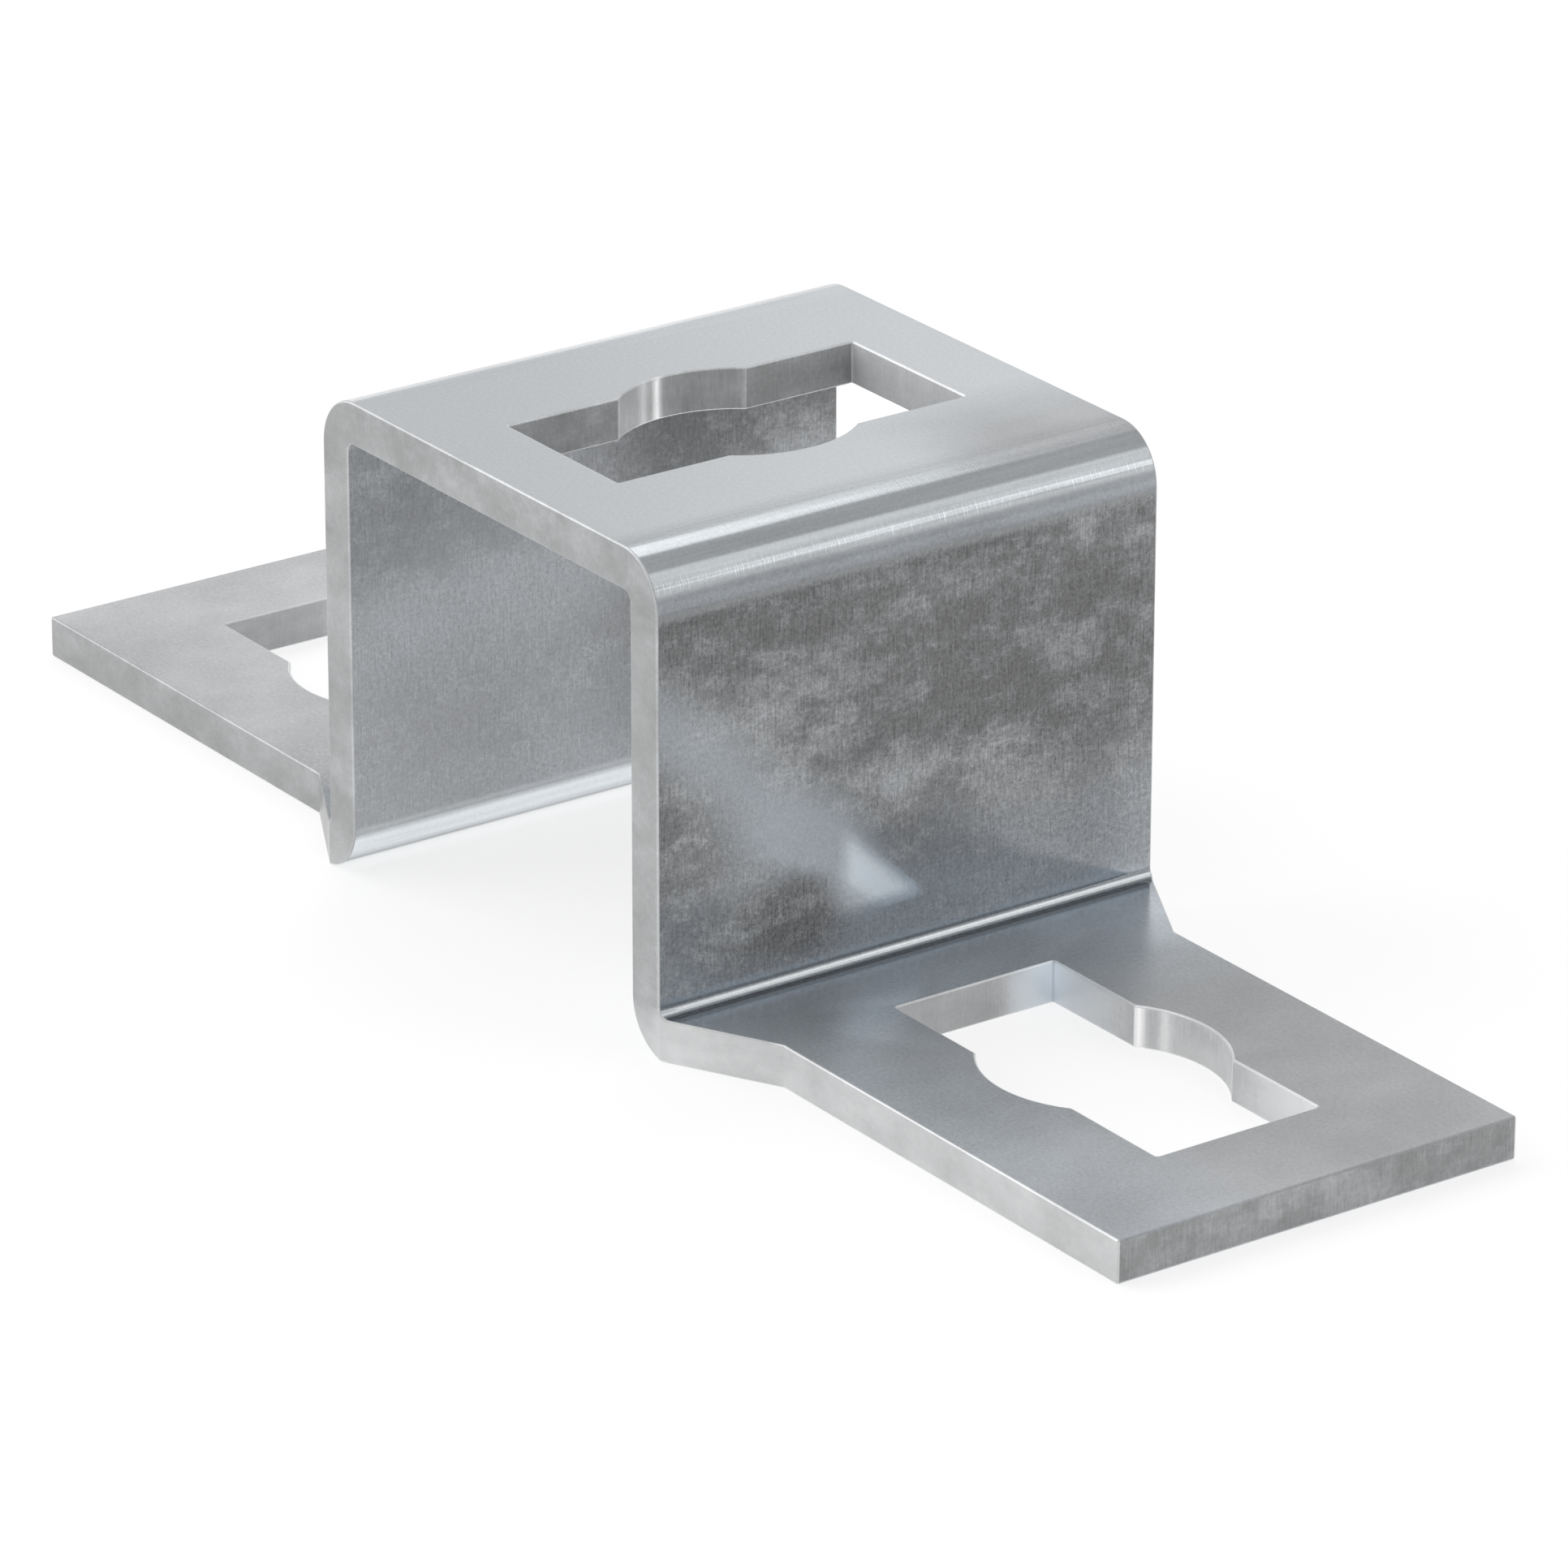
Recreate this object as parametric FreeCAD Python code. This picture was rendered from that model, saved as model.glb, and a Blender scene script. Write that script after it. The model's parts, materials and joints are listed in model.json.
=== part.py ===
import FreeCAD, Part
import os
from math import sqrt

from FreeCAD import Vector

# A channel connector: one strip of steel sheet, folded four times into a hat.
# The raised middle stands over a strut channel, and the two flanges lie flat on each side,
# where fixings through their keyed slots hold the connector down.
# X runs along the strip from flange to flange, Y runs along the folds and so along the
# channel under the hat, and Z is up. The origin lies midway between the flanges, in the
# plane that their undersides rest on. All sizes are in millimetres.

# The sheet, its folds, and the small rounding left on its cut edges.
sheet_thickness = 4.0
inside_bend_radius = 1.0
edge_radius = 0.2

# The hat: its clear inside, and its length along the channel that runs through it.
hat_clear_width = 44.0
hat_clear_height = 42.0
hat_length = 53.2

# The flanges. Lengths along X are measured outward from the outer face of a leg.
# The strip narrows from the hat's length to the flange's width along a straight shoulder.
flange_reach = 57.8
flange_width = 42.0
leg_to_shoulder = 0.2
leg_to_shoulder_end = 10.7

# The keyed slot, a rectangle with a round opening at its middle, punched three times.
slot_length = 37.0
slot_width = 17.0
slot_round_diameter = 21.8
leg_to_slot_centre = 28.2

# Places that follow from the sizes above.
outside_bend_radius = inside_bend_radius + sheet_thickness
hat_top_z = hat_clear_height + sheet_thickness
leg_inner_x = hat_clear_width / 2
leg_outer_x = leg_inner_x + sheet_thickness
shoulder_x = leg_outer_x + leg_to_shoulder
flange_end_x = leg_outer_x + flange_reach
flange_slot_x = leg_outer_x + leg_to_slot_centre

# Two faces meet in a sharp edge where the cosine between their directions is under this.
smooth_cosine = 0.99
# Two places count as the same within this distance.
same_place = 1e-6


def tangent_arc(before, corner, after, radius):
    """The arc of the given radius that touches both sides of a corner, and its two ends."""
    back = (before - corner).normalize()
    ahead = (after - corner).normalize()
    half_cosine = sqrt((1 + back.dot(ahead)) / 2)
    half_sine = sqrt((1 - back.dot(ahead)) / 2)
    tangent_length = radius * half_cosine / half_sine
    start = corner + back * tangent_length
    end = corner + ahead * tangent_length
    middle = corner + (back + ahead).normalize() * (radius / half_sine - radius)
    return Part.Arc(start, middle, end).toShape(), start, end


def rounded_wire(corners):
    """A closed wire through (point, radius) corners. A radius of zero leaves a corner sharp."""
    stretches = []
    for index, (point, radius) in enumerate(corners):
        before = corners[index - 1][0]
        after = corners[(index + 1) % len(corners)][0]
        if radius:
            stretches.append(tangent_arc(before, point, after, radius))
        else:
            stretches.append((None, point, point))
    edges = []
    for index, (arc, start, end) in enumerate(stretches):
        if arc:
            edges.append(arc)
        next_start = stretches[(index + 1) % len(stretches)][1]
        edges.append(Part.LineSegment(end, next_start).toShape())
    return Part.Wire(edges)


def hat_section():
    """The folded sheet seen along the channel: the thick line of a hat, as one flat face."""
    right_underside = [
        (leg_inner_x, hat_clear_height, inside_bend_radius),
        (leg_inner_x, 0, outside_bend_radius),
        (flange_end_x, 0, 0),
    ]
    right_upper_side = [
        (flange_end_x, sheet_thickness, 0),
        (leg_outer_x, sheet_thickness, inside_bend_radius),
        (leg_outer_x, hat_top_z, outside_bend_radius),
    ]
    right = right_underside + right_upper_side
    left = [(-x, z, radius) for x, z, radius in reversed(right)]
    front_y = -hat_length / 2
    corners = [(Vector(x, front_y, z), radius) for x, z, radius in right + left]
    return Part.Face(rounded_wire(corners))


def folded_strip():
    """The hat section carried along the channel, as wide as the hat from end to end."""
    return hat_section().extrude(Vector(0, hat_length, 0))


def plan_outline():
    """The connector seen from above, as a prism: hat, straight shoulders, narrower flanges."""
    wide_y = hat_length / 2
    narrow_y = flange_width / 2
    right_front = [
        (shoulder_x, -wide_y),
        (leg_outer_x + leg_to_shoulder_end, -narrow_y),
        (flange_end_x, -narrow_y),
    ]
    right_back = [(x, -y) for x, y in reversed(right_front)]
    right = right_front + right_back
    left = [(-x, -y) for x, y in right]
    points = [Vector(x, y, 0) for x, y in right + left]
    outline = Part.makePolygon(points + points[:1])
    return Part.Face(outline).extrude(Vector(0, 0, hat_top_z))


def keyed_slot(centre_x, base_z, size_x, size_y):
    """The punch for one keyed slot: a rectangle and a round opening, as deep as the sheet."""
    corner = Vector(centre_x - size_x / 2, -size_y / 2, base_z)
    rectangle = Part.makeBox(size_x, size_y, sheet_thickness, corner)
    centre = Vector(centre_x, 0, base_z)
    round_opening = Part.makeCylinder(slot_round_diameter / 2, sheet_thickness, centre)
    return rectangle.fuse(round_opening)


def slot_punches():
    """The hat's slot runs along the channel, and the slots in the flanges run across it."""
    return [
        keyed_slot(0, hat_clear_height, slot_width, slot_length),
        keyed_slot(flange_slot_x, 0, slot_length, slot_width),
        keyed_slot(-flange_slot_x, 0, slot_length, slot_width),
    ]


def direction_at(face, point):
    """The outward direction of a face at a point on it."""
    u, v = face.Surface.parameter(point)
    return face.normalAt(u, v)


def is_upright(edge):
    """Whether an edge is a straight line along Z."""
    run = edge.Vertexes[-1].Point - edge.Vertexes[0].Point
    return abs(abs(run.z) - edge.Length) < same_place


def on_leg(face):
    """Whether a face is a broad face of one of the two legs."""
    distance = abs(face.CenterOfMass.x)
    return min(abs(distance - leg_inner_x), abs(distance - leg_outer_x)) < same_place


def edges_to_dull(solid):
    """The sharp edges along the sheet's broad faces, and the outer corners cut across it."""
    chosen = []
    for edge in solid.Edges:
        middle = edge.valueAt((edge.FirstParameter + edge.LastParameter) / 2)
        faces = solid.ancestorsOfType(edge, Part.Face)
        first, second = [direction_at(face, middle) for face in faces]
        if first.dot(second) > smooth_cosine:
            continue
        # What stands upright between two cut walls crosses the sheet. It stays as it was cut,
        # except at the flanges' ends and where a shoulder leaves the hat.
        crosses_sheet = is_upright(edge) and not any(on_leg(face) for face in faces)
        distance = abs(middle.x)
        outer_corner = min(abs(distance - shoulder_x), abs(distance - flange_end_x)) < same_place
        if outer_corner or not crosses_sheet:
            chosen.append(edge)
    return chosen


def channel_connector():
    """The finished connector: folded strip, narrowed flanges, punched slots, dulled edges."""
    sharp = folded_strip().common(plan_outline())
    for punch in slot_punches():
        sharp = sharp.cut(punch)
    sharp = sharp.removeSplitter().Solids[0]
    return sharp.makeFillet(edge_radius, edges_to_dull(sharp))


os.makedirs("parts", exist_ok=True)
connector = channel_connector()
print("channel_connector:", round(connector.Volume), "cubic mm, valid", connector.isValid())
connector.exportStep("parts/channel_connector.step")
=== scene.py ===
import json
import math

import bmesh
import bpy
import numpy as np
from mathutils import Matrix, Vector


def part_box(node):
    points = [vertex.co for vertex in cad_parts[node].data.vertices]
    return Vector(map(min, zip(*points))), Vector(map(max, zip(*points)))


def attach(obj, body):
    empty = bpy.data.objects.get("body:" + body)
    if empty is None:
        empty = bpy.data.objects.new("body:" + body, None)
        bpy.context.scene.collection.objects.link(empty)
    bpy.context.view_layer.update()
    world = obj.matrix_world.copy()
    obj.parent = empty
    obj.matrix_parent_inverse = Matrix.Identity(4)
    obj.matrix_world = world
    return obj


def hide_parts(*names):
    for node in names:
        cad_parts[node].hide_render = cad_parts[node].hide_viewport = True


# %% [markdown]
# # A channel connector in zinc-coated steel
#
# The object is one strip of steel sheet, folded four times into a hat. The raised middle stands
# over a strut channel, and the two flanges lie flat beside it. Three keyed slots, each a long
# rectangle with a round opening at its middle, take the nuts that hold the connector down.
#
# The frame holds the engineering solid at its true size. This lesson works out a finer surface
# from the same sizes, in which the zinc can follow the sheet through its folds.

# %% Load the frame and measure it
mm = 0.001

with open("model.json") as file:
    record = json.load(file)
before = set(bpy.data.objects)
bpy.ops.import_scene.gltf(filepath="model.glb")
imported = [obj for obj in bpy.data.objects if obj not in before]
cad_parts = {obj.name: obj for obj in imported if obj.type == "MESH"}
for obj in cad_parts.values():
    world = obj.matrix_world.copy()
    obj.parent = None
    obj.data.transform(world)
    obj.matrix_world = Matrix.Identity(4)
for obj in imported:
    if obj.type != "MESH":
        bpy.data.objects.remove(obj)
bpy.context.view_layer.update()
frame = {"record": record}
low, high = [np.array(corner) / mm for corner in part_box("channel_connector")]
places = {mount["name"]: np.array(mount["pos_m"]) / mm for mount in frame["record"]["mounts"]}
print("the solid spans", np.round(high - low, 2), "mm")

# %% [markdown]
# ## The sizes
#
# The solid's box gives the reach of the flanges, the length along the channel and the height.
# The faces and slots that the record names give the sheet's thickness and the slots' places.
# All of them could be typed in, but a skin that reads them stays with the solid. So only the
# sizes that neither gives are written here, once, in millimetres.

# %% Name the sizes, in millimetres
flange_end_x = high[0]
hat_half_length = high[1]
hat_top_z = high[2]
sheet_thickness = places["hat_top"][2] - places["hat_inside"][2]
flange_slot_x = places["right_flange_slot"][0]

leg_outer_x = 26.0
inside_bend = 1.0
shoulder_start_x = 26.2
shoulder_end_x = 36.7
flange_half_width = 21.0
slot_half_length = 18.5
slot_half_width = 8.5
slot_round_radius = 10.9
edge_round = 0.2

leg_inner_x = leg_outer_x - sheet_thickness
outside_bend = inside_bend + sheet_thickness
hat_inside_z = hat_top_z - sheet_thickness
print("the sheet is", round(sheet_thickness, 3), "mm thick, the flange slots are at",
      round(flange_slot_x, 2), "mm")

# %% [markdown]
# ## The folded line of the sheet
#
# A press brake folds the strip over a die, so each side of the sheet is a chain of straight runs
# and arcs. A flat strip could be folded with modifiers, but then nothing would keep the bends at
# their true radius. So the chain is worked out, and each kind of link gets a short function.

# %% Write runs and arcs
def spread(start, end, steps):
    """Evenly spaced numbers from start to end, both included."""
    return np.linspace(start, end, steps + 1)


def joined(*stretches):
    """Stretches laid end to end, with the point that two of them share kept once."""
    return np.concatenate([stretches[0]] + [stretch[1:] for stretch in stretches[1:]])


def along(x, z):
    """Points of a straight run in the XZ plane: one of x and z varies, the other is one number."""
    return np.column_stack(np.broadcast_arrays(x, z))


def around(centre_x, centre_z, radius, degrees):
    """Points of an arc in the XZ plane: the centre plus the radius times cosine and sine."""
    angle = np.radians(degrees)
    return along(centre_x + radius * np.cos(angle), centre_z + radius * np.sin(angle))


print("a quarter circle in two steps:", around(0, 0, 1, spread(0, 90, 2)).round(2).tolist())

# %% [markdown]
# ## Steps along the sheet
#
# A row of cross lines steps along that chain. Each one runs through the sheet, from a point on the
# upper side to a point on the underside, and the whole skin hangs on these lines. Each half of a
# slot's window has the same number of steps, so that its edge can be joined to the slot's outline
# later. In the bend at a leg's foot one line stands exactly upright, because there the straight
# shoulder of the flange starts, and its corner needs a line of its own.

# %% Step along the right half of the sheet
quarter_steps = 24
bend_steps = 20
foot_steps = 10
leg_steps = 44
border_steps = 3
shoulder_steps = 3
round_steps = 4
gap_steps = 2
near_fold = 0.15
hat_window_half_x = 14.0
flange_window_half_x = 22.0
window_start_x = flange_slot_x - flange_window_half_x
window_end_x = flange_slot_x + flange_window_half_x

bend_x = leg_inner_x - inside_bend
bend_z = hat_inside_z - inside_bend
foot_x = leg_outer_x + inside_bend
foot_z = sheet_thickness + inside_bend
crease_upper = 180 + math.degrees(math.acos((foot_x - shoulder_start_x) / inside_bend))
crease_under = 180 + math.degrees(math.acos((foot_x - shoulder_start_x) / outside_bend))

top_x = joined(
    spread(0, hat_window_half_x, quarter_steps),
    spread(hat_window_half_x, bend_x, border_steps),
)
bend_degrees = spread(90, 0, bend_steps)
leg_z = joined(
    spread(bend_z, bend_z - near_fold, 1),
    spread(bend_z - near_fold, foot_z + near_fold, leg_steps),
    spread(foot_z + near_fold, foot_z, 1),
)
foot_upper = joined(spread(180, crease_upper, foot_steps), spread(crease_upper, 270, foot_steps))
foot_under = joined(spread(180, crease_under, foot_steps), spread(crease_under, 270, foot_steps))
flange_x = joined(
    spread(foot_x, foot_x + near_fold, 1),
    spread(foot_x + near_fold, window_start_x, gap_steps),
    spread(window_start_x, shoulder_end_x, shoulder_steps),
    spread(shoulder_end_x, flange_slot_x, quarter_steps - shoulder_steps),
    spread(flange_slot_x, window_end_x, quarter_steps),
    spread(window_end_x, flange_end_x - edge_round, border_steps),
    flange_end_x - edge_round + edge_round * np.sin(np.radians(spread(0, 90, round_steps))),
)
print("steps: top", len(top_x) - 1, "leg", len(leg_z) - 1, "flange", len(flange_x) - 1)

# %% [markdown]
# ## The two sides of the sheet
#
# The upper side goes round the outside of the hat's fold and the inside of the foot's bend, and
# the underside the other way about. Both chains have as many points, so that point by point they
# are the two ends of the cross lines.

# %% Chain the runs and the arcs
upper = joined(
    along(top_x, hat_top_z),
    around(bend_x, bend_z, outside_bend, bend_degrees),
    along(leg_outer_x, leg_z),
    around(foot_x, foot_z, inside_bend, foot_upper),
    along(flange_x, sheet_thickness),
)
under = joined(
    along(top_x, hat_inside_z),
    around(bend_x, bend_z, inside_bend, bend_degrees),
    along(leg_inner_x, leg_z),
    around(foot_x, foot_z, outside_bend, foot_under),
    along(flange_x, 0.0),
)
print("the right half has", len(upper), "cross lines")

# %% [markdown]
# ## The skin around the strip
#
# The strip's cross-section is a rectangle whose four corners are rounded by the tumbling that
# dulls cut sheet. Carrying that rounded rectangle along the cross lines gives the whole skin in
# one step. Its width is taken from the plan outline at every point's own place, so the shoulders
# and the flanges come out of the same formula. At the flange's end the rectangle shrinks along
# a quarter circle, and that rounds the end as well.

# %% Place the stations round the sheet
window_share = 0.78
row_steps = 2 * quarter_steps
rows = joined(
    spread(-1, -window_share, border_steps),
    spread(-window_share, window_share, row_steps),
    spread(window_share, 1, border_steps),
)
turn = np.radians(spread(0, 90, round_steps))


def profile_stations():
    """The rounded rectangle as rows of four numbers: which side of the sheet the point hangs on
    (0 upper, 1 under), its share of the half width, and how far it lies in from the edge and down
    from that side, both as shares of the corner radius (1 - sine and 1 - cosine of the turn)."""
    inset, depth = 1 - np.sin(turn), 1 - np.cos(turn)
    flat = np.column_stack([rows, np.ones_like(rows), np.zeros_like(rows)])
    bent = np.column_stack([np.ones_like(turn), inset, depth])
    other = bent * np.array([-1, 1, 1])
    quarters = [(0, flat), (0, bent[1:]), (1, bent[:0:-1]), (1, flat[::-1]),
                (1, other[1:]), (0, other[:0:-1])]
    return np.concatenate([np.insert(part, 0, side, axis=1) for side, part in quarters])


stations = profile_stations()
print("there are", len(stations), "stations round the sheet")

# %% [markdown]
# ## The rectangle on its way
#
# A Bevel modifier could dull the edges of a plain strip, but it stumbles where the slanted
# shoulders cut through the bends. Here one formula places every point of the skin, as an array
# of cross lines by stations. The strip is alike on both sides of the hat's middle, so its left
# half is the right half turned round.

# %% Carry the stations along the strip
def mirrored(half):
    """The left half of the strip before the right one, with x turned round and the middle once."""
    left = half[:0:-1] * np.array([-1, 1])
    return np.concatenate([left, half])


def half_width(x):
    """Half the strip's width at x: the hat's, then straight down the shoulder to the flange's."""
    return np.interp(
        np.abs(x),
        [0, shoulder_start_x, shoulder_end_x, flange_end_x],
        [hat_half_length, hat_half_length, flange_half_width, flange_half_width],
    )


def slant(line, through):
    """How squarely the cross lines meet a side of the sheet: 1 where they are at right angles."""
    run = np.gradient(line, axis=0)
    run /= np.linalg.norm(run, axis=1, keepdims=True)
    return np.abs(run[:, 0] * through[:, 1] - run[:, 1] * through[:, 0])


def strip_skin(upper, under, stations):
    """Every point of the skin, as an array of cross lines by stations by (x, y, z).

    A point starts on its side of the cross line, goes down that line by its depth, and lies
    across the strip at its share of (half the width there, less its inset)."""
    through = under - upper
    through /= np.linalg.norm(through, axis=1, keepdims=True)
    past_round = np.abs(upper[:, 0]) - (flange_end_x - edge_round)
    shrink = edge_round - np.sqrt(np.maximum(edge_round**2 - np.maximum(past_round, 0) ** 2, 0))
    corner = edge_round - shrink
    side, share, inset, depth = stations.T
    down = shrink[:, None] + depth * corner[:, None]
    squareness = np.where(side == 0, slant(upper, through)[:, None], slant(under, through)[:, None])
    start = np.where(side[:, None] == 0, upper[:, None, :], under[:, None, :])
    inward = np.where(side[:, None] == 0, 1, -1) * through[:, None, :]
    place = start + inward * (down / squareness)[..., None]
    across = share * (half_width(place[..., 0]) - shrink[:, None] - inset * corner[:, None])
    return np.dstack([place[..., 0], across, place[..., 1]])


upper, under = mirrored(upper), mirrored(under)
skin = strip_skin(upper, under, stations)
print("the skin is", skin.shape[0], "cross lines by", skin.shape[1], "stations")

# %% [markdown]
# ## Where the grain runs
#
# Sheet is rolled, and the rolling leaves a grain along the strip that turns with every fold. A
# pattern can follow it when each point knows how far along the unfolded strip it lies, so that
# distance becomes the first coordinate of the UV map, and the place across the strip the second.
# On cut walls the grain of the cut runs through the sheet instead.

# %% Measure distances along the unfolded strip
middle_line = (upper + under) / 2
developed = np.cumsum(np.linalg.norm(np.diff(middle_line, axis=0, prepend=middle_line[:1]), axis=1))
developed -= developed[-1] / 2
print("the unfolded strip is", round(2 * developed[-1], 1), "mm long")


def unfolded(x):
    """The distance along the unfolded strip of a place on one of its flat runs."""
    return np.interp(x, upper[:, 0], developed)


def grain_on_sheet(points, distance, offset):
    """UV of a broad side: the unfolded distance, and the place across the strip."""
    distance = np.broadcast_to(distance, points.shape[:2])
    return np.dstack([distance + offset, points[..., 1] + offset])


def grain_on_cut(points, line, offset):
    """UV of a cut wall: the distance through the sheet, and the distance along the cut."""
    through = np.cumsum(np.linalg.norm(np.diff(points, axis=1, prepend=points[:, :1]), axis=2), axis=1)
    return np.dstack([through, np.broadcast_to(line[:, None] + offset, through.shape)])


# %% [markdown]
# ## What the years do to zinc
#
# Zinc leaves its bath bright, and dulls from there. A pale bloom grows on the faces that lie open, a
# darker coat on those that stood in the wet, and the folds stay burnished where the brake's tools rubbed
# them. Such wear could be painted by hand on a texture. Here it is worked out as fields over the sheet,
# each a curve over the unfolded distance, and the mesh carries their values at its corners for the finish
# to read. Some of the fields paint light and shade as well: the legs' dark coat is partly painted shade,
# and painted highlights, glints, reflections and shade lines lie on the folds, the crease, the walls and
# the slots.

# %% Name the stretches of the unfolded strip
fold_start = unfolded(bend_x)
fold_length = math.pi / 2 * (outside_bend - sheet_thickness / 2)
fold_end = fold_start + fold_length
foot_start = fold_end + bend_z - foot_z
foot_end = foot_start + fold_length
first_foot_line = len(upper) // 2 + len(top_x) - 1 + bend_steps + len(leg_z) - 1
foot_lines = slice(first_foot_line, first_foot_line + len(foot_upper))


def foot_at(degrees, side=foot_upper):
    """The unfolded distance where one side of a foot's bend has turned by so many degrees."""
    return float(np.interp(degrees, side - 180, developed[foot_lines]))


def fold_at(degrees):
    """The unfolded distance where an upper fold has turned by so many degrees."""
    return fold_start + fold_length * degrees / 90


print("folds lie at", [round(float(s), 1) for s in (fold_start, fold_end, foot_start, foot_end)], "mm")

# %% [markdown]
# ## The shapes of a field
#
# Wear has no hard outline, so its fields are put together from four soft shapes: a bell curve, a
# spot, a chain of slopes and an eased step. Each takes only a few numbers, which say where it
# lies and how far it reaches.

# %% Shape the fields
def fading(distance, reach):
    """A bell curve: e to the power of minus the square of distance over reach."""
    return np.exp(-((distance / reach) ** 2))


def spot(across, height, centre, reach):
    """A soft spot: 1 at its centre, fading as a bell curve across the sheet and along it."""
    return fading(across - centre[0], reach[0]) * fading(height - centre[1], reach[1])


def over(distance, stops):
    """A value that runs in straight lines over the unfolded distance, on both halves alike.
    stops gives the value at each distance from the middle."""
    return np.interp(np.abs(distance), list(stops), list(stops.values()))


def eased(value, low, high):
    """0 below low, 1 above high, and between them 3 t^2 - 2 t^3 of the share t of the way."""
    share = np.clip((value - low) / (high - low), 0, 1)
    return share**2 * (3 - 2 * share)


print("an eased step passes", eased(np.array([0.25, 0.5, 0.75]), 0, 1).round(2).tolist())

# %% [markdown]
# ## The legs
#
# A leg wears a dark coat from just under its fold, thinner towards its foot, which is partly a coat and
# partly painted shade. A lighter haze runs down it on a slant and ends in one bright, bluish spot, a
# painted reflection, and in a few places the coat has worn paler. A few more spots are painted lighter or
# darker. Each of these is a bell curve or an eased step over the place across the leg and the height, so
# it can be moved by changing two numbers.

# %% Wear a leg
def leg_wear(across, height):
    """Five fields over a leg: the spot of painted reflection, inside four straight edges, the haze along
    the slant, the thickness of the coat, which is partly painted shade, its paler wear, and how much
    lighter it is painted."""
    bare_zinc_and_reflection_spot = eased(across, -7.6, -5.8) * eased(10.8 - across - 1.05 * height, -0.8, 2)
    bare_zinc_and_reflection_spot = bare_zinc_and_reflection_spot * eased(height + 0.82 * across, 5.4, 7.2) * eased(height, 8.6, 10) * (height < 20)
    slant_height = 12 - 0.85 * (across + 4)
    haze = fading(height - slant_height, 6.3) * eased(-across, 0, 8) * eased(height, 7, 11)

    def bell(y, z, reach_y, reach_z):
        return spot(across, height, (y, z), (reach_y, reach_z))

    # The coat is partly painted shade, and it is thicker and darker beside the reflection spot.
    coat_and_painted_shade = 0.5 + 0.42 * eased(height, 8, 26) - 0.5 * haze
    coat_and_painted_shade += 0.5 * bell(-11, 11, 4, 4) + 0.3 * bell(-17, 9, 6, 3) - 1.5 * bare_zinc_and_reflection_spot
    worn = 0.8 * bell(-16, 30, 9, 4) + bell(14, 31, 5, 3) + bell(1, 21, 7, 2.5) - 0.1
    worn += 0.8 * bell(13, 18, 5, 3) + 0.6 * eased(across, 20, 25) * eased(height, 26, 20)
    worn -= 0.5 * bell(3, 30, 7, 7) + 0.7 * bell(9, 25, 9, 2.5)
    # How much lighter the leg is painted: lighter in the haze, most in the reflection spot, and lighter or
    # darker in a few more spots.
    lit = 0.27 * haze + 0.15 * bell(-16, 30, 8, 5) + 0.15 * bell(2, 18, 7, 4) + 1.1 * bare_zinc_and_reflection_spot
    lit -= 0.2 * bell(20, 10, 7, 4) + 0.3 * bell(-12, 10, 4, 4)
    return bare_zinc_and_reflection_spot, haze, coat_and_painted_shade, worn, lit


print("a leg stands", round(float(foot_start - fold_end), 1), "mm high between its folds")
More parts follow.
